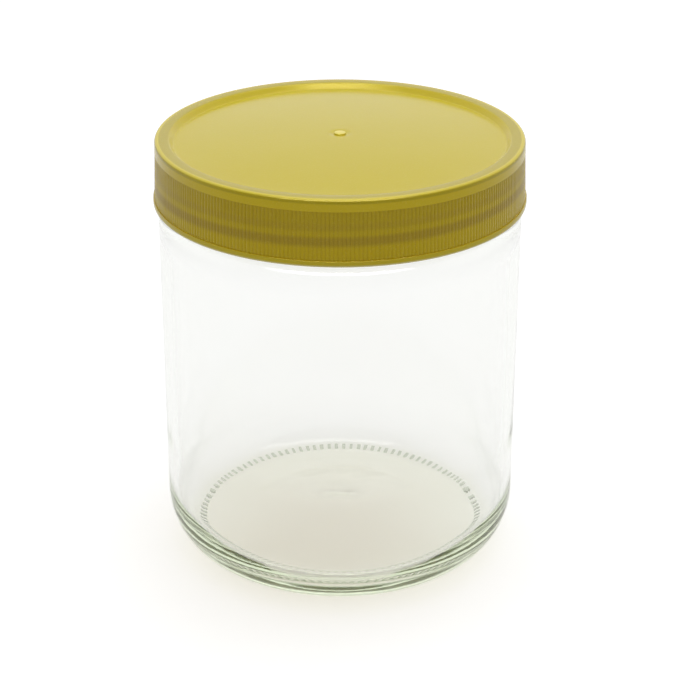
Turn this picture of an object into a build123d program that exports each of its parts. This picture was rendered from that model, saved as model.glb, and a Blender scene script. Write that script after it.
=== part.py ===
from build123d import *
import os

# A straight-sided glass storage jar, its plastic screw lid and the sealing liner inside the lid.
# Millimetres, +Z up. The origin is the middle of the ring that the jar stands on, at table height.
# Every piece is turned about the Z axis from a half-section drawn as (radius, height).

# Glass jar: outside
body_diameter = 82.0
jar_height = 96.6
heel_width = 10.9
heel_height = 13.6
standing_ring_width = 2.0
push_up_height = 2.2
shoulder_inset = 1.9
shoulder_height = 3.6
neck_height = 11.4

# Glass jar: inside
wall_thickness = 2.4
base_thickness = 4.6
floor_crown = 1.2
inner_heel_width = 7.0
inner_heel_height = 9.0
inner_shoulder_height = 9.0
inner_neck_height = 10.6

# Glass jar: sealing rim at the top of the neck
neck_wall = 2.6
rim_outer_rounding = 0.9
rim_inner_rounding = 0.7

# Sealing liner
liner_thickness = 1.0
liner_clearance = 0.3

# Screw lid
thread_room = 0.8
skirt_wall = 1.3
skirt_flare = 0.6
skirt_gap = 0.21
skirt_edge_rounding = 0.4
panel_thickness = 1.2
panel_dome = 1.55
panel_foot_width = 0.6
panel_foot_rounding = 0.5
crown_rise = 1.27
crown_width = 3.15
crown_slope = 0.95
crown_rounding = 0.64
plain_band_height = 2.7
bead_height = 1.35
bead_stand_out = 0.2
bead_rounding = 0.12
gate_dimple_diameter = 5.0
gate_dimple_depth = 0.2
gate_mark_diameter = 2.8
gate_mark_height = 0.4

# Grip ribs round the lid's skirt
rib_count = 300
rib_recess = 0.06
rib_depth = 0.15
cut_overrun = 1.0

# Where the two arcs of a double curve meet, as a share of the way from its first end
outer_shoulder_share = 0.72
inner_shoulder_share = 0.5
push_up_share = 0.35
floor_share = 0.5

# Width of a rib's flat top, as a share of the pitch from rib to rib
rib_top_share = 0.55

# Jar radii and heights that follow
body_radius = body_diameter / 2
neck_radius = body_radius - shoulder_inset
mouth_radius = neck_radius - neck_wall
inner_radius = body_radius - wall_thickness
ring_outer_radius = body_radius - heel_width
ring_inner_radius = ring_outer_radius - standing_ring_width
neck_root = jar_height - neck_height
shoulder_bottom = neck_root - shoulder_height
inner_shoulder_top = jar_height - inner_neck_height
inner_shoulder_bottom = inner_shoulder_top - inner_shoulder_height
floor_middle = push_up_height + base_thickness
floor_edge = floor_middle - floor_crown

# Lid radii and heights that follow
liner_top = jar_height + liner_thickness
panel_top = liner_top + panel_thickness
crown_top = panel_top + crown_rise
skirt_bottom = neck_root + skirt_gap
skirt_inner_radius = neck_radius + thread_room
skirt_top_radius = skirt_inner_radius + skirt_wall
crown_inner_radius = skirt_top_radius - crown_width
panel_radius = crown_inner_radius - crown_slope
gate_dimple_radius = gate_dimple_diameter / 2
gate_mark_radius = gate_mark_diameter / 2
grip_top = crown_top - plain_band_height
grip_bottom = skirt_bottom + bead_height

OUTWARD = Vector(1, 0)
UPWARD = Vector(0, 1)


def turned(*outline):
    """Turn a closed half-section about the Z axis."""
    return revolve(Plane.XZ * make_face(outline), Axis.Z)


def double_curve(start, end, direction, share):
    """Two tangent arcs that leave the start and reach the end along one direction, either way."""
    start, end = Vector(*start), Vector(*end)
    middle = start + (end - start) * share
    heading = direction * (end - start).dot(direction)
    first = TangentArc(start, middle, tangent=heading)
    second = TangentArc(middle, end, tangent=-heading, tangent_from_first=False)
    return [first, second]


def heel_curve(center, width, height):
    """The quarter ellipse that turns a floor up into a wall, from below its centre to beside it."""
    return EllipticalCenterArc(center, width, height, start_angle=270, arc_size=90)


def skirt_radius(height):
    """Outside radius of the skirt at a height: it flares evenly towards its lower edge."""
    return skirt_top_radius + skirt_flare * (crown_top - height) / (crown_top - skirt_bottom)


def glass_jar():
    """The jar, one piece of glass: pushed-up base, heel, wall, shoulder, neck and sealing rim."""
    underside = double_curve((0, push_up_height), (ring_inner_radius, 0), OUTWARD, push_up_share)
    standing_ring = Line((ring_inner_radius, 0), (ring_outer_radius, 0))
    heel = heel_curve((ring_outer_radius, heel_height), heel_width, heel_height)
    wall = Line((body_radius, heel_height), (body_radius, shoulder_bottom))
    shoulder = double_curve(
        (body_radius, shoulder_bottom), (neck_radius, neck_root), UPWARD, outer_shoulder_share
    )
    neck = FilletPolyline(
        (neck_radius, neck_root),
        (neck_radius, jar_height),
        (mouth_radius, jar_height),
        (mouth_radius, inner_shoulder_top),
        radius=[rim_outer_rounding, rim_inner_rounding],
    )
    inner_shoulder = double_curve(
        (mouth_radius, inner_shoulder_top), (inner_radius, inner_shoulder_bottom), UPWARD, inner_shoulder_share
    )
    inner_heel_top = floor_edge + inner_heel_height
    inner_wall = Line((inner_radius, inner_shoulder_bottom), (inner_radius, inner_heel_top))
    floor_radius = inner_radius - inner_heel_width
    inner_heel = heel_curve((floor_radius, inner_heel_top), inner_heel_width, inner_heel_height)
    floor = double_curve((floor_radius, floor_edge), (0, floor_middle), OUTWARD, floor_share)
    axis = Line((0, floor_middle), (0, push_up_height))
    return turned(
        *underside, standing_ring, heel, wall, *shoulder, *neck.edges(),
        *inner_shoulder, inner_wall, inner_heel, *floor, axis,
    )


def ribbed_section(height):
    """Cross-section of the grip band at a height: flat-topped ribs with a V groove after each one."""
    rib_top = skirt_radius(height) - rib_recess
    groove_bottom = rib_top - rib_depth
    pitch = 360 / rib_count
    half_top = pitch * rib_top_share / 2
    points = []
    for rib in range(rib_count):
        middle = rib * pitch
        points.append(Vector(rib_top, 0).rotate(Axis.Z, middle - half_top))
        points.append(Vector(rib_top, 0).rotate(Axis.Z, middle + half_top))
        points.append(Vector(groove_bottom, 0).rotate(Axis.Z, middle + pitch / 2))
    return Pos(0, 0, height) * make_face(Polyline(*points, close=True))


def space_round_ribs():
    """The space round the ribs and in their grooves, between the plain band and the bead."""
    low, high = ribbed_section(grip_bottom - cut_overrun), ribbed_section(grip_top + cut_overrun)
    outside = skirt_radius(skirt_bottom) + bead_stand_out + cut_overrun
    band = Polyline(
        (skirt_inner_radius, grip_bottom),
        (outside, grip_bottom),
        (outside, grip_top),
        (skirt_inner_radius, grip_top),
        close=True,
    )
    return turned(*band.edges()) - loft([low, high], ruled=True)


def screw_lid():
    """The lid, one moulding: domed panel with its gate mark, raised crown, ribbed skirt and bead."""
    dome_top = panel_top + panel_dome
    dome_underside = liner_top + panel_dome
    dimple_floor = dome_top - gate_dimple_depth
    mark_top = dimple_floor + gate_mark_height
    mark = Polyline(
        (0, dome_underside),
        (0, mark_top),
        (gate_mark_radius, mark_top),
        (gate_mark_radius, dimple_floor),
        (gate_dimple_radius, dome_top),
    )
    panel_edge = panel_radius - panel_foot_width
    panel = TangentArc((gate_dimple_radius, dome_top), (panel_edge, panel_top), tangent=OUTWARD)
    rim_and_skirt = FilletPolyline(
        (panel_edge, panel_top),
        (panel_radius, panel_top),
        (crown_inner_radius, crown_top),
        (skirt_radius(crown_top), crown_top),
        (skirt_radius(grip_bottom), grip_bottom),
        (skirt_radius(grip_bottom) + bead_stand_out, grip_bottom),
        (skirt_radius(skirt_bottom) + bead_stand_out, skirt_bottom),
        (skirt_radius(skirt_bottom) - skirt_wall, skirt_bottom),
        (skirt_inner_radius, liner_top),
        (panel_radius, liner_top),
        radius=[
            panel_foot_rounding, crown_rounding, crown_rounding, 0,
            bead_rounding, skirt_edge_rounding, skirt_edge_rounding, 0,
        ],
    )
    underside = TangentArc((0, dome_underside), (panel_radius, liner_top), tangent=OUTWARD)
    return turned(*mark.edges(), panel, *rim_and_skirt.edges(), underside) - space_round_ribs()


def lid_liner():
    """The liner, a flat disc between the lid and the sealing rim."""
    radius = skirt_inner_radius - liner_clearance
    disc = Rectangle(radius, liner_thickness, align=(Align.MIN, Align.MIN))
    return revolve(Plane.XZ * Pos(0, jar_height) * disc, Axis.Z)


os.makedirs("parts", exist_ok=True)
pieces = {"glass_jar": glass_jar(), "lid_liner": lid_liner(), "screw_lid": screw_lid()}
for name, piece in pieces.items():
    export_step(piece, f"parts/{name}.step")
    size = piece.bounding_box().size
    print(f"{name}: {size.X:.2f} x {size.Y:.2f} x {size.Z:.2f} mm, {piece.volume / 1000:.2f} cm3")
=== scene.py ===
# %% [markdown]
# # A glass storage jar with a screw lid
#
# The jar is a straight-sided food jar of clear pressed glass. It has a gold-olive plastic screw lid, and
# inside the lid lies a thin white liner that seals on the glass rim. The measured jar is loaded first as a
# fixed frame: it holds the real sizes and says how the lid turns and lifts. Everything made here stands for
# one of its three pieces and stays exactly where that piece is.

# %% Load the measured jar
import math

import bmesh
import bpy
from mathutils import Matrix, Vector


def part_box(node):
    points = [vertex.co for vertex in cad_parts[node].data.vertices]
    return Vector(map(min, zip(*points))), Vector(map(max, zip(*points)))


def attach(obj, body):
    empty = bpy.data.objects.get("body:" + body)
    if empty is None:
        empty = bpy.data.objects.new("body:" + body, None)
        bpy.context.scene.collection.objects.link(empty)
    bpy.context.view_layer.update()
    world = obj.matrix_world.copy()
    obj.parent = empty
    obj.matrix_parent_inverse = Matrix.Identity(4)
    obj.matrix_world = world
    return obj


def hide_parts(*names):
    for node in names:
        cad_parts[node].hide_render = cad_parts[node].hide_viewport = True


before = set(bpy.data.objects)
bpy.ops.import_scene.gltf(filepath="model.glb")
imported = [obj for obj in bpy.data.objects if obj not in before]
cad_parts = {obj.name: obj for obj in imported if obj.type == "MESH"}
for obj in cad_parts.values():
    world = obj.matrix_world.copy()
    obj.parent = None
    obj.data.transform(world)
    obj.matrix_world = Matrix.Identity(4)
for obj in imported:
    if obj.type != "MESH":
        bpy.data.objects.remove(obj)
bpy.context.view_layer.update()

# %% [markdown]
# ## Sizes
#
# All lengths are metres. The outer sizes are read from the frame, so the pieces made here fit the measured
# ones. The smaller sizes are those of the real mouldings: how deep the heel is, how thick the wall, how far
# the thread stands out. A glass piece is only right when its inner wall is right too, because the light
# that we see has crossed both. A share says where the two arcs of a soft step meet, between its ends at 0
# and 1.

# %% Sizes of the jar
jar_low, jar_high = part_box("glass_jar")
body_radius = (jar_high.x - jar_low.x) / 2
jar_height = jar_high.z
heel_width = 0.0109
heel_height = 0.0136
ring_width = 0.0020
push_up_height = 0.0022
push_up_rounding = 0.0030
shoulder_inset = 0.0019
shoulder_height = 0.0036
neck_height = 0.0114
wall = 0.0024
base_thickness = 0.0046
floor_crown = 0.0012
inner_heel_width = 0.0070
inner_heel_height = 0.0100
inner_shoulder_height = 0.0090
inner_neck_height = 0.0106
neck_wall = 0.0026
rim_outer_rounding = 0.0009
rim_inner_rounding = 0.0007
settle_low = 0.0170
settle_high = 0.0310
bar_count = 112
bar_start = 0.0328
bar_end = 0.0356
outer_shoulder_share = 0.72
inner_shoulder_share = 0.5
floor_share = 0.5
neck_radius = body_radius - shoulder_inset
mouth_radius = neck_radius - neck_wall
inner_radius = body_radius - wall
neck_root = jar_height - neck_height
floor_middle = push_up_height + base_thickness
floor_edge = floor_middle - floor_crown
print(f"jar: radius {body_radius:.4f}, height {jar_height:.4f}, mouth radius {mouth_radius:.4f}")

# %% Sizes of the lid and the liner
lid_low, lid_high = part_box("screw_lid")
liner_low, liner_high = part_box("lid_liner")
panel_thickness = 0.0012
panel_dome = 0.00155
panel_foot_width = 0.0006
panel_foot_rounding = 0.0005
crown_rise = 0.00127
crown_width = 0.00315
crown_slope = 0.00095
crown_rounding = 0.00064
skirt_wall = 0.0013
thread_room = 0.0008
skirt_edge_rounding = 0.0004
plain_band_height = 0.0027
bead_height = 0.00135
bead_stand_out = 0.0002
bead_rounding = 0.00012
rib_recess = 0.00006
rib_depth = 0.00015
gate_dimple_radius = 0.0025
gate_dimple_depth = 0.0002
gate_mark_radius = 0.0014
gate_mark_height = 0.0004
gate_mark_rounding = 0.00028
gate_foot_rounding = 0.0001
gate_dimple_rounding = 0.0005
ledge_rounding = 0.00003
liner_top = liner_high.z
skirt_bottom = lid_low.z
panel_top = liner_top + panel_thickness
crown_top = panel_top + crown_rise
grip_top = crown_top - plain_band_height
grip_bottom = skirt_bottom + bead_height
skirt_inner_radius = neck_radius + thread_room
skirt_top_radius = skirt_inner_radius + skirt_wall
skirt_flare = (lid_high.x - lid_low.x) / 2 - bead_stand_out - skirt_top_radius
crown_inner_radius = skirt_top_radius - crown_width
panel_radius = crown_inner_radius - crown_slope
print(f"lid: top radius {skirt_top_radius:.4f}, flare {skirt_flare:.5f}, crown at {crown_top:.4f}")

# %% [markdown]
# ## Drawing a section
#
# Both the glass and the lid are turned shapes, so each is one half-section spun about the Z axis. A section
# is written as a few corners, each with the length that its rounding takes from the two edges beside it.
# Rounding corners with a bevel keeps the list short: the operator makes the points of the curve. A soft
# step such as the shoulder is two corners whose roundings meet in the middle.
#
# A tight rounding gets few points and a wide one more. A long flat wall gets a point close to each end.
# Smooth shading blends the direction of the faces on both sides of a point, and without those points the
# blend would run along the whole wall and bend its reflections.

# %% Corners, roundings and soft steps
segment_turn = math.radians(5)
shortest_segment = 0.00011
longest_segment = 0.0035
merge_distance = 0.000002


def arc_corner(start, end, upright):
    """The corner of the one arc that leaves start along an axis and reaches end."""
    across, up = end[0] - start[0], end[1] - start[1]
    leg = (across * across + up * up) / (2 * (up if upright else across))
    if upright:
        return (start[0], start[1] + leg, abs(leg))
    return (start[0] + leg, start[1], abs(leg))


def step_corners(start, end, share, upright):
    """The two corners of a soft step that leaves start and reaches end along the same axis."""
    middle = (start[0] + (end[0] - start[0]) * share, start[1] + (end[1] - start[1]) * share)
    return [arc_corner(start, middle, upright), arc_corner(end, middle, upright)]


def round_corner(bm, vert, width, rise=None):
    """Bevel one corner of a section to an arc, stretched upright where the curve is taller than wide."""
    height = vert.co.z
    before, after = [edge.other_vert(vert).co - vert.co for edge in vert.link_edges]
    turn = math.pi - before.angle(after)
    fine = min(turn / segment_turn, turn * width / shortest_segment)
    segments = max(3, round(fine), round(width / longest_segment))
    arc = bmesh.ops.bevel(
        bm, geom=[vert], offset=width, offset_type="OFFSET", affect="VERTICES",
        segments=segments, profile=0.5, material=-1,
    )["verts"]
    for point in arc:
        point.co.z = height + (point.co.z - height) * (rise or width) / width


def draw_section(corners):
    """A chain of edges through corners of (radius, height), (radius, height, rounding) or with a rise."""
    bm = bmesh.new()
    chain = [bm.verts.new((corner[0], 0, corner[1])) for corner in corners]
    for first, second in zip(chain, chain[1:]):
        bm.edges.new((first, second))
    for vert, corner in zip(chain, corners):
        if len(corner) > 2:
            round_corner(bm, vert, *corner[2:])
    bmesh.ops.remove_doubles(bm, verts=bm.verts, dist=merge_distance)
    return bm


def add_rows(bm, chosen, spacing):
    """Divide the section's edges whose middle is chosen, so that the wall can be shaped there."""
    for edge in bm.edges[:]:
        middle = (edge.verts[0].co + edge.verts[1].co) / 2
        cuts = math.ceil(edge.calc_length() / spacing) - 1
        if cuts > 0 and chosen(middle):
            bmesh.ops.subdivide_edges(bm, edges=[edge], cuts=cuts)


def spin_section(bm, steps):
    """Spin an eighth of a turn about the Z axis, copy it round, and close the seams and the poles."""
    print(f"section of {len(bm.verts)} points, spun in {steps} steps")
    done = math.tau / 8
    bmesh.ops.spin(
        bm, geom=bm.verts[:] + bm.edges[:], cent=(0, 0, 0), axis=(0, 0, 1),
        angle=done, steps=steps // 8, use_merge=False,
    )
    while done < math.pi * 1.5:
        copied = bmesh.ops.duplicate(bm, geom=bm.verts[:] + bm.edges[:] + bm.faces[:])["geom"]
        points = [part for part in copied if isinstance(part, bmesh.types.BMVert)]
        bmesh.ops.rotate(bm, verts=points, cent=(0, 0, 0), matrix=Matrix.Rotation(done, 3, "Z"))
        done *= 2
    bmesh.ops.remove_doubles(bm, verts=bm.verts, dist=merge_distance)
    bmesh.ops.recalc_face_normals(bm, faces=bm.faces)


# %% Finished pieces
def finish_piece(bm, name, body, node, material, crease=None):
    """Make the bmesh a smooth-shaded object that rides on a body and stands for a measured piece."""
    mesh = bpy.data.meshes.new(name)
    bm.to_mesh(mesh)
    open_edges = sum(1 for edge in bm.edges if len(edge.link_faces) != 2)
    triangles = sum(len(face.verts) - 2 for face in bm.faces)
    bm.free()
    mesh.shade_smooth()
    if crease:
        mesh.set_sharp_from_angle(angle=crease)
    mesh.materials.append(material)
    piece = bpy.data.objects.new(name, mesh)
    bpy.context.scene.collection.objects.link(piece)
    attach(piece, body)
    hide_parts(node)
    print(f"{name}: {triangles} triangles, {open_edges} open edges")


# %% [markdown]
# ## The helical thread
#
# The thread on the neck is a low ridge that climbs 4 mm in a turn, right-handed, for a turn and a quarter.
# A separate ridge laid on the glass would leave a hidden wall between the two, which shows as a dark line
# in a clear piece. So the neck's own wall is pushed outward where the ridge runs. The lid has the matching
# ridge on its inside, half a turn lower, and it is pushed inward the same way.

# %% A ridge that climbs round a wall
thread_lead = 0.004
thread_start = -math.tau * 0.75
thread_end = math.tau * 0.5
thread_taper = math.radians(28)
thread_crest_share = 0.3
thread_on_neck = 0.0926
thread_in_lid = thread_on_neck - thread_lead / 2
print(f"thread: {(thread_end - thread_start) / math.tau:.2f} turns, {thread_lead * 1000:.1f} mm a turn")


def turn_from_front(point):
    """Angle round the Z axis, from the front of the jar towards +X, between minus and plus half a turn."""
    return math.atan2(point.x, -point.y)


def soft(value):
    """Smooth step from 0 to 1."""
    value = min(max(value, 0), 1)
    return value * value * (3 - 2 * value)


def ridge_share(point, front_height, half_width):
    """How much of the ridge stands at a point of the wall, from 0 to 1."""
    best = 0.0
    for winding in (-1, 0, 1):
        turn = turn_from_front(point) + math.tau * winding
        distance = abs(point.z - front_height - thread_lead * turn / math.tau)
        if thread_start < turn < thread_end and distance < half_width:
            flank = soft((half_width - distance) / (half_width * (1 - thread_crest_share)))
            taper = soft(min(turn - thread_start, thread_end - turn) / thread_taper)
            best = max(best, flank * taper)
    return best


def move_out(vert, distance):
    """Move a point away from the Z axis, or towards it where the distance is negative."""
    scale = 1 + distance / math.hypot(vert.co.x, vert.co.y)
    vert.co.x *= scale
    vert.co.y *= scale


def push_ridge(bm, chosen, front_height, half_width, depth):
    """Push the chosen wall out by depth, or in where depth is negative, along the climbing ridge."""
    for vert in bm.verts:
        if chosen(math.hypot(vert.co.x, vert.co.y), vert.co.z):
            share = ridge_share(vert.co, front_height, half_width)
            if share > 0:
                move_out(vert, depth * share)


# %% [markdown]
# ## Materials
#
# Three finishes make the jar: clear glass, translucent pearl plastic and white foam. All three read Object
# coordinates, so a pattern stays in place when the lid turns. Two effects are used by more than one of
# them: the fine unevenness of a moulded surface and the thin film of dust and handling that every kept jar
# has. Each is a node group, built once and given its own values in each material.

# %% Node helpers
def new_material(name):
    """An empty node material with its output, and a function that adds nodes to it."""
    material = bpy.data.materials.new(name)
    material.use_nodes = True
    material.node_tree.nodes.clear()
    print(f"material: {name}")
    return material, node_adder(material.node_tree)


def node_adder(tree):
    """A function that adds a node to the tree, sets its values and joins its inputs."""
    def add(kind, inputs=None, **settings):
        node = tree.nodes.new(kind)
        for key, value in settings.items():
            setattr(node, key, value)
        for socket, value in (inputs or {}).items():
            if isinstance(value, bpy.types.NodeSocket):
                tree.links.new(value, node.inputs[socket])
            else:
                node.inputs[socket].default_value = value
        return node
    return add


def node_maths(add):
    """Functions that add a Math node, a smooth mask or a mix of two colours, and return its output."""
    def arithmetic(operation, first, second=0.0):
        return add("ShaderNodeMath", {0: first, 1: second}, operation=operation).outputs[0]

    def mask(value, low, high, full=1.0, empty=0.0):
        return add("ShaderNodeMapRange", {
            "Value": value, "From Min": low, "From Max": high, "To Min": empty, "To Max": full,
        }, interpolation_type="SMOOTHSTEP").outputs[0]

    def blend(share, first, second):
        return add("ShaderNodeMix", {0: share, 6: first, 7: second}, data_type="RGBA").outputs[2]

    return arithmetic, mask, blend


def place_nodes(add):
    """Object coordinates, their axes one by one, and the distance from the Z axis."""
    place = add("ShaderNodeTexCoord").outputs["Object"]
    axes = add("ShaderNodeSeparateXYZ", {"Vector": place}).outputs
    across = add("ShaderNodeCombineXYZ", {"X": axes["X"], "Y": axes["Y"]}).outputs[0]
    radius = add("ShaderNodeVectorMath", {0: across}, operation="LENGTH").outputs["Value"]
    return place, axes, radius


def let_light_through(add, solid, colour):
    """The solid shader, but clear and tinted for the rays that would cast its shadow."""
    clear = add("ShaderNodeBsdfTransparent", {"Color": colour})
    path = add("ShaderNodeLightPath")
    return add("ShaderNodeMixShader", {
        0: path.outputs["Is Shadow Ray"], 1: solid.outputs[0], 2: clear.outputs[0],
    }).outputs[0]


def new_group(name, inputs, outputs):
    """A shader node group with float or vector sockets, its input sockets and a node adder."""
    kinds = {"float": "NodeSocketFloat", "vector": "NodeSocketVector"}
    group = bpy.data.node_groups.new(name, "ShaderNodeTree")
    for socket, kind in inputs.items():
        group.interface.new_socket(name=socket, in_out="INPUT", socket_type=kinds[kind])
    for socket, kind in outputs.items():
        group.interface.new_socket(name=socket, in_out="OUTPUT", socket_type=kinds[kind])
    add = node_adder(group)
    print(f"node group: {name}")
    return group, add("NodeGroupInput").outputs, add


# %% Group: uneven moulded surface
uneven_surface, given, add = new_group(
    "uneven moulded surface",
    {"Vector": "vector", "Wave Scale": "float", "Grain Scale": "float", "Grain Share": "float"},
    {"Height": "float"},
)
waves = add("ShaderNodeTexNoise", {"Vector": given["Vector"], "Scale": given["Wave Scale"], "Detail": 1.0})
grain = add("ShaderNodeTexNoise", {"Vector": given["Vector"], "Scale": given["Grain Scale"], "Detail": 2.0})
both = add("ShaderNodeMix", {0: given["Grain Share"], 2: waves.outputs["Fac"], 3: grain.outputs["Fac"]})
add("NodeGroupOutput", {"Height": both.outputs[0]})

# %% Group: dust and handling
dust_film, given, add = new_group(
    "dust and handling",
    {"Vector": "vector", "Scale": "float", "Amount": "float"},
    {"Film": "float"},
)
patches = add("ShaderNodeTexNoise", {"Vector": given["Vector"], "Scale": given["Scale"], "Detail": 4.0})
specks = add("ShaderNodeTexNoise", {"Vector": given["Vector"], "Scale": 900.0, "Detail": 1.0})
cloud = add("ShaderNodeMapRange", {"Value": patches.outputs["Fac"], "From Min": 0.45, "From Max": 0.75})
dots = add("ShaderNodeMapRange", {"Value": specks.outputs["Fac"], "From Min": 0.68, "From Max": 0.74})
film = add("ShaderNodeMath", {0: cloud.outputs[0], 1: dots.outputs[0]}, operation="MAXIMUM")
amount = add("ShaderNodeMath", {0: film.outputs[0], 1: given["Amount"]}, operation="MULTIPLY")
add("NodeGroupOutput", {"Film": amount.outputs[0]})

# %% [markdown]
# ### Clear glass
#
# Soda-lime glass is clear face-on and green seen along its edge. The green belongs to the depth of the
# glass and not to its surface, so the surface stays white and a Volume Absorption node takes the colour out
# along the way. Light that only casts shadows passes straight through, with the small loss of two glass
# faces: bending every shadow ray would cost much time and leave grains of light on the floor.
#
# Pressed glass is never quite even. It has slow upright waves everywhere, and stronger ones in the heel,
# where it met the cold mould first. The short bars under the heel come out matt, so they are a little rough;
# their grey is painted shade, so that they read dark. The mask for them has the same number of waves round
# the jar as there are bars.
#
# Each pair of values below is a fade: the effect is absent at the first and full at the second.

# %% Values of the clear glass
white = (1.0, 1.0, 1.0, 1.0)
glass_green = (0.47, 0.64, 0.12, 1.0)
green_density = 7.0
light_through_glass = (0.90, 0.91, 0.87, 1.0)
# Painted shade: the matt bars are tinted grey.
matt_bar_shade_grey = (0.45, 0.50, 0.42, 1.0)
matt_roughness = 0.12
matt_crest_fade = (0.3, -0.5)
matt_width_fade = (0.0014, 0.0010)
matt_height_fade = (0.0035, 0.0025)
heel_height_fade = (0.010, 0.005)
heel_radius_fade = (0.0355, 0.0375)
wall_relief = 0.00012
heel_relief = 0.0004

# %% Clear glass
def make_clear_glass():
    material, add = new_material("clear pressed glass")
    arithmetic, mask, blend = node_maths(add)
    place, axes, radius = place_nodes(add)
    upright = add("ShaderNodeMapping", {"Vector": place, "Scale": (1.0, 1.0, 0.22)}).outputs[0]
    height = add("ShaderNodeGroup", {
        "Vector": upright, "Wave Scale": 75.0, "Grain Scale": 420.0, "Grain Share": 0.12,
    }, node_tree=uneven_surface).outputs["Height"]
    film = add("ShaderNodeGroup", {
        "Vector": place, "Scale": 45.0, "Amount": 0.02,
    }, node_tree=dust_film).outputs["Film"]
    from_middle = arithmetic("ABSOLUTE", arithmetic("SUBTRACT", radius, (bar_start + bar_end) / 2))
    angle = arithmetic("ARCTAN2", axes["X"], axes["Y"])
    crest = mask(arithmetic("COSINE", arithmetic("MULTIPLY", angle, bar_count)), *matt_crest_fade)
    on_bars = arithmetic("MULTIPLY", crest, mask(from_middle, *matt_width_fade))
    matt = arithmetic("MULTIPLY", on_bars, mask(axes["Z"], *matt_height_fade))
    heel = arithmetic("MULTIPLY", mask(axes["Z"], *heel_height_fade), mask(radius, *heel_radius_fade))
    relief = arithmetic("ADD", arithmetic("MULTIPLY", heel, heel_relief), wall_relief)
    bump = add("ShaderNodeBump", {"Strength": 0.5, "Distance": relief, "Height": height})
    glass = add("ShaderNodeBsdfPrincipled", {
        "Base Color": blend(matt, white, matt_bar_shade_grey),
        "Roughness": arithmetic("ADD", film, arithmetic("MULTIPLY", matt, matt_roughness)),
        "IOR": 1.51,
        "Transmission Weight": 1.0,
        "Normal": bump.outputs["Normal"],
    })
    surface = let_light_through(add, glass, light_through_glass)
    depth = add("ShaderNodeVolumeAbsorption", {"Color": glass_green, "Density": green_density})
    add("ShaderNodeOutputMaterial", {"Surface": surface, "Volume": depth.outputs[0]})
    return material


clear_glass = make_clear_glass()

# %% [markdown]
# ### Pearl plastic
#
# The lid is polypropylene with a pearl pigment: satin, a little see-through, gold-olive. Its colour is
# painted brighter where the white liner lies close behind it, and deeper on the skirt, where there is only
# air and the
# neck: painted light and shade. The rounded edge of the crown is painted as a bright line, a painted
# highlight, with a deep line of painted shade below it. The pigment flakes are metallic, which gives the
# gloss a gold tint.
#
# Where the lid's own thread would show through the skirt, a soft dark band of painted shade lies under a
# line of painted light, and both climb with the thread. A group works out how far a point lies above one
# winding of the thread, and whether that winding is there at all. The thread is longer than a turn, so the
# group is used for two windings.

# %% Group: one winding of the thread
thread_winding, given, add = new_group(
    "one winding of the thread",
    {"Vector": "vector", "Front Height": "float", "Winding": "float"},
    {"Above": "float", "Presence": "float"},
)
arithmetic = node_maths(add)[0]
axes = add("ShaderNodeSeparateXYZ", {"Vector": given["Vector"]}).outputs
angle = arithmetic("ARCTAN2", axes["X"], arithmetic("MULTIPLY", axes["Y"], -1.0))
turn = arithmetic("ADD", arithmetic("DIVIDE", angle, math.tau), given["Winding"])
ridge = arithmetic("ADD", arithmetic("MULTIPLY", turn, thread_lead), given["Front Height"])
above = arithmetic("SUBTRACT", axes["Z"], ridge)
first_turn, last_turn, taper = [value / math.tau for value in (thread_start, thread_end, thread_taper)]
begun = add("ShaderNodeMapRange", {"Value": turn, "From Min": first_turn, "From Max": first_turn + taper})
unended = add("ShaderNodeMapRange", {"Value": turn, "From Min": last_turn, "From Max": last_turn - taper})
presence = arithmetic("MULTIPLY", begun.outputs[0], unended.outputs[0])
add("NodeGroupOutput", {"Above": above, "Presence": presence})

# %% Colours of the lid
panel_gold = (0.65, 0.53, 0.025, 1.0)
gate_mark_gold = (0.95, 0.80, 0.16, 1.0)
crown_gold = (0.52, 0.42, 0.03, 1.0)
# Painted light: the sloping inside of the crown is painted lighter than the panel.
crown_slope_lit_gold = (0.70, 0.57, 0.04, 1.0)
# Painted highlight: a bright line along the rounded edge of the crown.
crown_edge_highlight_gold = (0.74, 0.61, 0.06, 1.0)
# Painted shade: a deep line just below the rounded edge of the crown.
crown_corner_shade_olive = (0.45, 0.35, 0.006, 1.0)
plain_band_gold = (0.63, 0.475, 0.012, 1.0)
# Painted shade: the ribs above the thread are deeper than those below it.
upper_rib_shade_olive = (0.48, 0.345, 0.005, 1.0)
lower_rib_olive = (0.55, 0.40, 0.003, 1.0)
# Painted shade, and a line of painted light, where the thread would show through the skirt.
thread_shade_olive = (0.41, 0.28, 0.012, 1.0)
thread_light_line_olive = (0.52, 0.375, 0.006, 1.0)
faint_thread_shade_olive = (0.46, 0.325, 0.010, 1.0)
bead_gold = (0.56, 0.44, 0.02, 1.0)
# Painted light: the thin lower lip of the skirt is lighter and greyer, as if lit through.
lit_lip_gold = (0.68, 0.62, 0.28, 1.0)
cloud_gold = (0.76, 0.64, 0.08, 1.0)
flake_gold = (0.90, 0.78, 0.25, 1.0)
gloss_gold = (1.0, 0.86, 0.35, 1.0)
light_through_lid = (0.60, 0.48, 0.14, 1.0)

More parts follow.
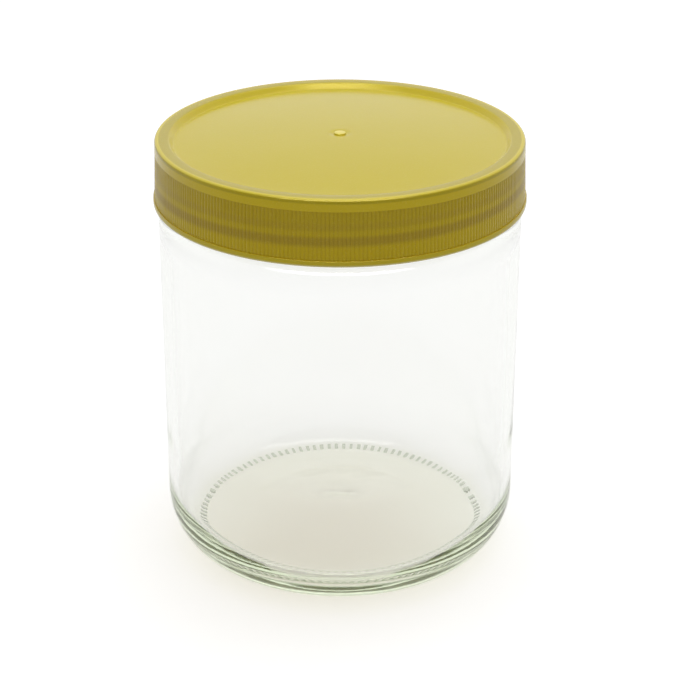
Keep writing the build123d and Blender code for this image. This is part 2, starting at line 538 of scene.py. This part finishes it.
# %% Where each colour of the lid fades in
gate_mark_fade = (gate_mark_radius, gate_mark_radius - 0.0003)
crown_slope_lit_fade = (panel_radius - 0.0004, panel_radius + 0.0002)
crown_fade = (crown_inner_radius - 0.0002, crown_inner_radius + 0.0003)
crown_edge_highlight_fade = (skirt_top_radius - 0.0011, skirt_top_radius - 0.0007)
outside_fade = (crown_inner_radius + 0.0010, crown_inner_radius + 0.0015)
crown_corner_shade_fade = (crown_top - 0.0001, crown_top - 0.0004)
plain_band_fade = (crown_top - 0.0008, crown_top - 0.0012)
ribs_fade = (grip_top + 0.0001, grip_top)
bead_fade = (grip_bottom, grip_bottom - 0.0001)
lit_lip_fade = (skirt_bottom + 0.0006, skirt_bottom + 0.0002)
cloud_fade = (0.35, 0.75)
cloud_share = 0.06
flake_fade = (0.80, 1.0)
flake_share = 0.07

# %% [markdown]
# Four bands of painted light and shade climb with the thread on the skirt, each at its own height above it.
# A band is three lengths: how high its middle lies, how far from the middle it is still full, and where it
# ends.

# %% Colours of the ribs
thread_seen_at = 0.09098
upper_rib_band = (0.0080, 0.0056, 0.0068)
faint_thread_band = (0.0032, 0.0002, 0.0011)
thread_band = (0.0, 0.0004, 0.0017)
thread_line_band = (0.00185, 0.0001, 0.0006)


def rib_colour(add, place):
    """The olive of the ribs, with painted light and shade where the thread would show through them."""
    arithmetic, mask, blend = node_maths(add)

    def thread_mask(middle, full, end):
        """A band that climbs with the thread, wherever one of its windings is present."""
        bands = []
        for winding in (-1.0, 0.0):
            thread = add("ShaderNodeGroup", {
                "Vector": place, "Front Height": thread_seen_at, "Winding": winding,
            }, node_tree=thread_winding).outputs
            off_middle = arithmetic("ABSOLUTE", arithmetic("SUBTRACT", thread["Above"], middle))
            bands.append(arithmetic("MULTIPLY", mask(off_middle, end, full), thread["Presence"]))
        return arithmetic("MAXIMUM", *bands)

    ribs = blend(thread_mask(*upper_rib_band), lower_rib_olive, upper_rib_shade_olive)
    ribs = blend(thread_mask(*faint_thread_band), ribs, faint_thread_shade_olive)
    ribs = blend(thread_mask(*thread_band), ribs, thread_shade_olive)
    return blend(thread_mask(*thread_line_band), ribs, thread_light_line_olive)


# %% Pearl plastic
def lid_colour(add, place, axes, radius):
    """The colour of the plastic by its place on the lid, lighter and darker by place as painted light and
    shade, with its clouds and flakes.
    """
    arithmetic, mask, blend = node_maths(add)
    height = axes["Z"]
    body = blend(mask(radius, *gate_mark_fade), panel_gold, gate_mark_gold)
    body = blend(mask(radius, *crown_slope_lit_fade), body, crown_slope_lit_gold)
    body = blend(mask(radius, *crown_fade), body, crown_gold)
    body = blend(mask(radius, *crown_edge_highlight_fade), body, crown_edge_highlight_gold)
    outside = mask(radius, *outside_fade)
    shade_below_edge = arithmetic("MULTIPLY", outside, mask(height, *crown_corner_shade_fade))
    body = blend(shade_below_edge, body, crown_corner_shade_olive)
    on_plain_band = arithmetic("MULTIPLY", outside, mask(height, *plain_band_fade))
    body = blend(on_plain_band, body, plain_band_gold)
    body = blend(mask(height, *ribs_fade), body, rib_colour(add, place))
    body = blend(mask(height, *bead_fade), body, bead_gold)
    body = blend(mask(height, *lit_lip_fade), body, lit_lip_gold)
    clouds = add("ShaderNodeTexNoise", {"Vector": place, "Scale": 60.0, "Detail": 3.0}).outputs["Fac"]
    body = blend(mask(clouds, *cloud_fade, cloud_share), body, cloud_gold)
    flakes = add("ShaderNodeTexVoronoi", {"Vector": place, "Scale": 5200.0}, feature="F1").outputs["Color"]
    flake = add("ShaderNodeSeparateColor", {"Color": flakes}).outputs["Red"]
    return blend(mask(flake, *flake_fade, flake_share), body, flake_gold)


def make_pearl_plastic():
    material, add = new_material("gold-olive pearl plastic")
    arithmetic = node_maths(add)[0]
    place, axes, radius = place_nodes(add)
    film = add("ShaderNodeGroup", {
        "Vector": place, "Scale": 70.0, "Amount": 0.03,
    }, node_tree=dust_film).outputs["Film"]
    height = add("ShaderNodeGroup", {
        "Vector": place, "Wave Scale": 140.0, "Grain Scale": 3800.0, "Grain Share": 0.10,
    }, node_tree=uneven_surface).outputs["Height"]
    bump = add("ShaderNodeBump", {"Strength": 0.3, "Distance": 0.0001, "Height": height})
    plastic = add("ShaderNodeBsdfPrincipled", {
        "Base Color": lid_colour(add, place, axes, radius),
        "Roughness": arithmetic("ADD", film, 0.20),
        "IOR": 1.49,
        "Specular Tint": gloss_gold,
        "Subsurface Weight": 0.15,
        "Subsurface Radius": (1.0, 0.7, 0.1),
        "Subsurface Scale": 0.0015,
        "Normal": bump.outputs["Normal"],
    })
    add("ShaderNodeOutputMaterial", {"Surface": let_light_through(add, plastic, light_through_lid)})
    return material


pearl_plastic = make_pearl_plastic()

# %% [markdown]
# ### Liner foam
#
# The liner is foamed sheet with a smooth skin. It is white, softer at the surface than the lid, and the
# glass rim leaves a faint ring in it where the lid is screwed down.

# %% Liner foam
foam_white = (0.88, 0.88, 0.85, 1.0)
pressed_white = (0.80, 0.80, 0.76, 1.0)
pressed_fade = (0.0014, 0.0009)
light_through_foam = (0.9, 0.9, 0.88, 1.0)


def make_liner_foam():
    material, add = new_material("white liner foam")
    arithmetic, mask, blend = node_maths(add)
    place, _, radius = place_nodes(add)
    rim_middle = (mouth_radius + neck_radius) / 2
    from_rim = arithmetic("ABSOLUTE", arithmetic("SUBTRACT", radius, rim_middle))
    cells = add("ShaderNodeTexVoronoi", {"Vector": place, "Scale": 2600.0}, feature="F1").outputs["Distance"]
    bump = add("ShaderNodeBump", {"Strength": 0.3, "Distance": 0.00008, "Height": cells})
    foam = add("ShaderNodeBsdfPrincipled", {
        "Base Color": blend(mask(from_rim, *pressed_fade), foam_white, pressed_white),
        "Roughness": 0.55,
        "Subsurface Weight": 0.1,
        "Subsurface Scale": 0.001,
        "Normal": bump.outputs["Normal"],
    })
    add("ShaderNodeOutputMaterial", {"Surface": let_light_through(add, foam, light_through_foam)})
    return material


liner_foam = make_liner_foam()

# %% [markdown]
# ## The glass jar
#
# The section starts under the pushed-up base, runs out to the standing ring, round the heel, up the wall,
# over the shoulder, up the neck, over the rim and back down the inside. The heel is taller than it is wide,
# outside and inside, and the base is twice as thick as the wall: that is what makes the bottom of a jar
# look heavy and gather the green of the glass.

# %% The glass section
hold = 0.001


def glass_corners():
    """The corners of the jar's half-section, the outside first and then the inside."""
    ring_outer = body_radius - heel_width
    ring_inner = ring_outer - ring_width
    shoulder_bottom = neck_root - shoulder_height
    inner_shoulder_top = jar_height - inner_neck_height
    inner_shoulder_bottom = inner_shoulder_top - inner_shoulder_height
    floor_radius = inner_radius - inner_heel_width
    outside = [(0, push_up_height), (push_up_rounding, push_up_height, push_up_rounding)]
    outside += [(ring_inner - push_up_rounding, 0, push_up_rounding), (ring_inner, 0)]
    outside += [(body_radius, 0, heel_width, heel_height)]
    outside += [(body_radius, heel_height + hold), (body_radius, shoulder_bottom - hold)]
    outside += step_corners(
        (body_radius, shoulder_bottom), (neck_radius, neck_root), outer_shoulder_share, upright=True
    )
    outside += [(neck_radius, jar_height, rim_outer_rounding)]
    inside = [(mouth_radius, jar_height, rim_inner_rounding), (mouth_radius, inner_shoulder_top + hold)]
    inside += step_corners(
        (mouth_radius, inner_shoulder_top), (inner_radius, inner_shoulder_bottom),
        inner_shoulder_share, upright=True,
    )
    inside += [(inner_radius, inner_shoulder_bottom - hold), (inner_radius, settle_high + hold)]
    inside += [(inner_radius, floor_edge + inner_heel_height + hold)]
    inside += [(inner_radius, floor_edge, inner_heel_width, inner_heel_height)]
    inside += step_corners((floor_radius, floor_edge), (0, floor_middle), floor_share, upright=False)
    return outside + inside + [(0, floor_middle)]


# %% [markdown]
# Four things depart from the turned shape. The thread goes round the neck. Low on the heel, pressed jars
# have short radial bars that keep the hot glass from sticking to the conveyor; seen through the base they
# are a ring of fine ticks. The middle of the base has five small round pips in a short arc. Last, the inner
# wall swells a very little above the heel, where the glass sank before it set. All four are made by moving
# points of the spun skin, so the glass stays one closed piece with no walls inside.

# %% Bars, pips and the settled wall
bar_profile = (0.0, 0.6, 1.0, 0.6)
bar_height = 0.00026
bar_taper = 0.0006
pip_count = 5
pip_spacing = math.radians(19)
pip_arc_radius = 0.0095
pip_radius = 0.0008
pip_height = 0.0001
pip_steepness = 1.6
settle_depth = 0.0001
settle_unevenness = 0.35
settle_start = 0.6


def raise_bars(bm):
    """Sink the ground between the bars, so that no bar stands out further than the heel's own curve."""
    for vert in bm.verts:
        radius = math.hypot(vert.co.x, vert.co.y)
        if vert.co.z < floor_edge and bar_start < radius < bar_end:
            step = round(turn_from_front(vert.co) / math.tau * bar_count * len(bar_profile))
            ground = soft(min(radius - bar_start, bar_end - radius) / bar_taper)
            vert.co.z += bar_height * ground * (1 - bar_profile[step % len(bar_profile)])


def raise_pips(bm):
    """Round pips on the underside of the base, on a short arc behind the middle."""
    for number in range(pip_count):
        angle = math.pi / 2 + pip_spacing * (number - (pip_count - 1) / 2)
        centre = Vector((math.cos(angle), math.sin(angle))) * pip_arc_radius
        for vert in bm.verts:
            distance = (vert.co.xy - centre).length
            if distance < pip_radius and vert.co.z < floor_edge / 2:
                vert.co.z -= pip_height * soft((1 - distance / pip_radius) * pip_steepness)


def settle_wall(bm):
    """Swell the inner wall above the heel, a little more on some sides than on others."""
    for vert in bm.verts:
        radius = math.hypot(vert.co.x, vert.co.y)
        if settle_low < vert.co.z < settle_high and abs(radius - inner_radius) < hold:
            share = (vert.co.z - settle_low) / (settle_high - settle_low)
            uneven = 1 + settle_unevenness * math.sin(2 * turn_from_front(vert.co) + settle_start)
            move_out(vert, -settle_depth * uneven * soft(2 * min(share, 1 - share)))


# %% The glass jar
neck_row = 0.0003
pip_row = 0.00025
settle_row = 0.001
bar_row = 0.0003
glass_thread_half_width = 0.0011
glass_thread_height = 0.0008


def on_neck(point):
    return point.x > inner_radius and neck_root < point.z < jar_height - hold


def near_pips(point):
    reach = pip_radius + longest_segment / 2
    return point.z < floor_edge / 2 and abs(point.x - pip_arc_radius) < reach


def on_settled_wall(point):
    return abs(point.x - inner_radius) < hold and settle_low < point.z < settle_high + hold


def near_bars(point):
    return point.z < floor_edge / 2 and bar_start - bar_taper < point.x < bar_end + bar_taper


def outside_of_neck(radius, height):
    return radius > neck_radius - merge_distance and height > neck_root


def make_jar():
    bm = draw_section(glass_corners())
    add_rows(bm, on_neck, neck_row)
    add_rows(bm, near_pips, pip_row)
    add_rows(bm, on_settled_wall, settle_row)
    add_rows(bm, near_bars, bar_row)
    spin_section(bm, bar_count * len(bar_profile))
    push_ridge(bm, outside_of_neck, thread_on_neck, glass_thread_half_width, glass_thread_height)
    raise_bars(bm)
    raise_pips(bm)
    settle_wall(bm)
    finish_piece(bm, "glass_jar_body", "jar", "glass_jar", clear_glass)


make_jar()

# %% [markdown]
# ## The lid
#
# The section of the lid starts at the gate mark, the nub in the middle where the plastic entered the mould,
# and runs out over the domed panel, a shallow groove, the raised crown and its rounded edge. Then it goes
# down the skirt: a plain band, the ribbed grip, the bead at the lower edge, and back up the inside. The
# skirt leans outward to its lower edge, because it has to slip off the steel core that shapes it.
#
# The grip has 300 fine upright ribs. They are made like the bars on the glass: the skirt is spun in four
# steps to a rib, and every fourth line of points is drawn in to make the groove.

# %% The lid section
rib_count = 300
steps_per_rib = 4
ledge_hold = 0.0001
lid_thread_row = 0.0011
lid_thread_half_width = 0.0010
lid_thread_depth = 0.0006
lid_crease = math.radians(35)
slack = 0.00002


def skirt_radius(height):
    """Outside radius of the lid at a height."""
    return skirt_top_radius + skirt_flare * (crown_top - height) / (crown_top - skirt_bottom)


def lid_corners():
    """The corners of the lid's half-section: gate mark, panel, crown, skirt and the inside."""
    dome_top = panel_top + panel_dome
    dimple_floor = dome_top - gate_dimple_depth
    mark_top = dimple_floor + gate_mark_height
    panel_edge = (panel_radius - panel_foot_width, panel_top)
    bead_top = skirt_radius(grip_bottom) + bead_stand_out
    slope_turn = math.atan2(crown_rise, crown_slope)
    foot = panel_foot_rounding * math.tan(slope_turn / 2)
    shoulder = crown_rounding * math.tan(slope_turn / 2)
    top = [(0, mark_top), (gate_mark_radius, mark_top, gate_mark_rounding)]
    top += [(gate_mark_radius, dimple_floor, gate_foot_rounding)]
    top += [(gate_dimple_radius, dome_top, gate_dimple_rounding)]
    top += [arc_corner((gate_dimple_radius, dome_top), panel_edge, upright=False), panel_edge]
    top += [(panel_radius, panel_top, foot), (crown_inner_radius, crown_top, shoulder)]
    skirt = [(skirt_radius(crown_top), crown_top, crown_rounding)]
    skirt += [(skirt_radius(crown_top - hold), crown_top - hold)]
    skirt += [(skirt_radius(grip_top + ledge_hold), grip_top + ledge_hold)]
    skirt += [(skirt_radius(grip_top), grip_top, ledge_rounding)]
    skirt += [(skirt_radius(grip_top) - rib_recess, grip_top)]
    skirt += [(skirt_radius(grip_bottom) - rib_recess, grip_bottom)]
    skirt += [(bead_top, grip_bottom, bead_rounding)]
    skirt += [(skirt_radius(skirt_bottom) + bead_stand_out, skirt_bottom, skirt_edge_rounding)]
    inside = [(skirt_radius(skirt_bottom) - skirt_wall, skirt_bottom, skirt_edge_rounding)]
    inside += [(skirt_inner_radius, liner_top), (panel_radius, liner_top)]
    inside += [arc_corner((0, liner_top + panel_dome), (panel_radius, liner_top), upright=False)]
    return top + skirt + inside + [(0, liner_top + panel_dome)]


# %% The grooves and the lid
def cut_grooves(bm):
    """Draw every fourth line of points of the grip in, and leave the ribs standing between the grooves."""
    steps = rib_count * steps_per_rib
    middle_of_wall = skirt_inner_radius + skirt_wall / 2
    for vert in bm.verts:
        radius = math.hypot(vert.co.x, vert.co.y)
        rib_top = skirt_radius(vert.co.z) - rib_recess
        in_grip = grip_bottom - slack < vert.co.z < grip_top + slack
        if in_grip and middle_of_wall < radius < rib_top + slack:
            step = round(math.atan2(vert.co.y, vert.co.x) / math.tau * steps) % steps_per_rib
            if step == steps_per_rib // 2:
                move_out(vert, -rib_depth)


def on_threaded_wall(radius, height):
    on_inner_wall = neck_radius < radius < skirt_radius(height) - skirt_wall / 2
    return on_inner_wall and skirt_bottom + hold < height < liner_top - hold


def make_lid():
    bm = draw_section(lid_corners())
    add_rows(bm, lambda point: on_threaded_wall(point.x, point.z), lid_thread_row)
    spin_section(bm, rib_count * steps_per_rib)
    cut_grooves(bm)
    push_ridge(bm, on_threaded_wall, thread_in_lid, lid_thread_half_width, -lid_thread_depth)
    finish_piece(bm, "screw_lid_body", "lid", "screw_lid", pearl_plastic, lid_crease)


make_lid()

# %% [markdown]
# ## The liner
#
# A disc punched from sheet has crisp edges with a slightly drawn lip. It stays inside the lid, on the
# glass.

# %% The liner
liner_lip_rounding = 0.00025
liner_edge_rounding = 0.0002
liner_row = 0.004
liner_steps = 240
liner_crease = math.radians(40)


def make_liner():
    radius = liner_high.x
    corners = [(0, liner_low.z), (radius, liner_low.z, liner_lip_rounding)]
    corners += [(radius, liner_top, liner_edge_rounding), (0, liner_top)]
    bm = draw_section(corners)
    add_rows(bm, lambda point: point.x < radius - hold / 2, liner_row)
    spin_section(bm, liner_steps)
    finish_piece(bm, "lid_liner_disc", "liner", "lid_liner", liner_foam, liner_crease)


make_liner()

# %% [markdown]
# ## Floor, light and camera
#
# The jar stands on a plain pale floor in an even white studio. White surroundings alone make glass vanish:
# its outline comes from the darker side of the room that the edges bend into view. So the world is white
# behind the jar and to its sides, and grey on the near side, for reflections and for light bent by the
# glass. What the camera sees directly stays white. Light for the matt surfaces is lower, and one softbox
# overhead adds to it, so that colours come out about as they are written.
#
# Glossy plastic needs something bright to reflect. A wide bright patch, high up on the near side of the
# room, gives the sloping back of the crown its highlight. Only reflections see it, so it adds no light to
# the floor.

# %% The studio
matt_level = 0.42
near_side = -0.75
far_side = 0.25
gloss_near_level = 0.60
glass_near_level = 0.75
patch_direction = (0.0, -0.61, 0.79)
patch_narrowing = (0.4, 1.0, 1.0)
patch_fade = (0.36, 0.22)
patch_level = 11.0


def make_studio():
    """The world: one brightness for the camera, one for matt surfaces, and a room for gloss and glass."""
    world = bpy.data.worlds.new("white studio")
    bpy.context.scene.world = world
    world.use_nodes = True
    world.node_tree.nodes.clear()
    add = node_adder(world.node_tree)
    arithmetic, mask = node_maths(add)[:2]
    path = add("ShaderNodeLightPath").outputs
    direction = add("ShaderNodeTexCoord").outputs["Generated"]
    toward = add("ShaderNodeSeparateXYZ", {"Vector": direction}).outputs["Y"]

    def room(near_level):
        """Brightness of the room by direction: lower behind the camera, full behind the jar."""
        return mask(toward, near_side, far_side, empty=near_level)

    def choose(share, first, second):
        return add("ShaderNodeMix", {0: share, 2: first, 3: second}).outputs[0]

    def vector(operation, first, second=(0.0, 0.0, 0.0)):
        return add("ShaderNodeVectorMath", {0: first, 1: second}, operation=operation).outputs

    off_patch = vector("SUBTRACT", direction, patch_direction)[0]
    off_patch = vector("LENGTH", vector("MULTIPLY", off_patch, patch_narrowing)[0])["Value"]
    shine = arithmetic("ADD", room(gloss_near_level), mask(off_patch, *patch_fade, patch_level))
    scattered = arithmetic("GREATER_THAN", path["Diffuse Depth"], 0.5)
    level = choose(path["Is Glossy Ray"], matt_level, shine)
    level = choose(path["Is Transmission Ray"], level, room(glass_near_level))
    level = choose(scattered, level, matt_level)
    level = choose(path["Is Camera Ray"], level, 1.0)
    background = add("ShaderNodeBackground", {"Color": white, "Strength": level})
    add("ShaderNodeOutputWorld", {"Surface": background.outputs[0]})
    print(f"world: {world.name}, matt surfaces are lit at {matt_level}")


make_studio()

# %% [markdown]
# The floor takes the shadow. Like the world it is brighter to the eye than to the matt surfaces: it glows a
# little towards the camera and towards glass, so the base of the jar and the white liner over it are as
# light as they are on a lit table. It lies a hair below the standing ring, so that light gets out of the
# glass there.

# %% The floor
floor_clearance = 0.0002
floor_radius = 3.0
floor_sides = 64
floor_grey = (0.80, 0.80, 0.80, 1.0)
glow_to_camera = 0.5
glow_to_glass = 0.35


def make_floor():
    material, add = new_material("pale floor")
    arithmetic = node_maths(add)[0]
    path = add("ShaderNodeLightPath").outputs
    unscattered = arithmetic("LESS_THAN", path["Diffuse Depth"], 0.5)
    mirrored = arithmetic("MULTIPLY", path["Is Glossy Ray"], unscattered)
    by_glass = arithmetic("MAXIMUM", mirrored, path["Is Transmission Ray"])
    glass_glow = arithmetic("MULTIPLY", by_glass, glow_to_glass)
    glow_level = arithmetic("ADD", glass_glow, arithmetic("MULTIPLY", path["Is Camera Ray"], glow_to_camera))
    matt = add("ShaderNodeBsdfDiffuse", {"Color": floor_grey})
    glow = add("ShaderNodeEmission", {"Color": white, "Strength": glow_level})
    both = add("ShaderNodeAddShader", {0: matt.outputs[0], 1: glow.outputs[0]})
    add("ShaderNodeOutputMaterial", {"Surface": both.outputs[0]})
    bm = bmesh.new()
    bmesh.ops.create_circle(bm, cap_ends=True, radius=floor_radius, segments=floor_sides)
    bmesh.ops.translate(bm, verts=bm.verts, vec=(0, 0, -floor_clearance))
    mesh = bpy.data.meshes.new("floor")
    bm.to_mesh(mesh)
    bm.free()
    mesh.materials.append(material)
    floor = bpy.data.objects.new("floor", mesh)
    bpy.context.scene.collection.objects.link(floor)
    print(f"floor: {floor_clearance * 1000:.1f} mm under the standing ring")


make_floor()

# %% The overhead softbox
softbox_place = Vector((0.05, 0.10, 1.0))
softbox_size = 0.7
softbox_power = 4.4


def add_softbox():
    """A square soft light overhead, turned towards the middle of the jar."""
    light = bpy.data.lights.new("overhead softbox", "AREA")
    light.size = softbox_size
    light.energy = softbox_power
    lamp = bpy.data.objects.new("overhead softbox", light)
    bpy.context.scene.collection.objects.link(lamp)
    lamp.location = softbox_place
    toward_jar = Vector((0, 0, jar_height / 2)) - softbox_place
    lamp.rotation_euler = toward_jar.to_track_quat("-Z", "Y").to_euler()
    print(f"softbox: {softbox_power} W, {toward_jar.length:.2f} m from the jar")


add_softbox()

# %% [markdown]
# ## The camera
#
# The photograph was taken from a little under half a metre, 25 degrees above the table, and with the middle
# of the jar's height in the middle of the picture. At that distance the lid is a slimmer ellipse than the
# base, which is why the distance matters as much as the lens.

# %% Camera
camera_distance = 0.45543
camera_elevation = math.radians(24.878)
aim = Vector((0, 0, 0.05007))
focal_pixels = 1952.24
picture_width = 680
sensor_width = 36.0


def add_camera():
    data = bpy.data.cameras.new("camera")
    data.sensor_fit = "HORIZONTAL"
    data.sensor_width = sensor_width
    data.lens = focal_pixels / picture_width * sensor_width
    data.clip_start = 0.01
    camera = bpy.data.objects.new("camera", data)
    back = Vector((0, -math.cos(camera_elevation), math.sin(camera_elevation)))
    camera.location = aim + back * camera_distance
    camera.rotation_euler = (-back).to_track_quat("-Z", "Y").to_euler()
    bpy.context.scene.collection.objects.link(camera)
    bpy.context.scene.camera = camera
    print(f"camera: lens {data.lens:.2f} mm at {tuple(round(value, 4) for value in camera.location)}")


add_camera()
bpy.context.scene.view_settings.view_transform = "Standard"

# %% [markdown]
# Light that enters the heel of a jar is caught there: it runs round inside the thick glass and is reflected
# many times before it gets out. With the usual dozen bounces those paths end in black, and the heel turns a
# dull grey. More bounces cost little here, because few paths need them.

# %% Light bounces
bounces = 32
cycles = bpy.context.scene.cycles
cycles.max_bounces = cycles.glossy_bounces = cycles.transmission_bounces = bounces
print(f"bounces: {bounces}")
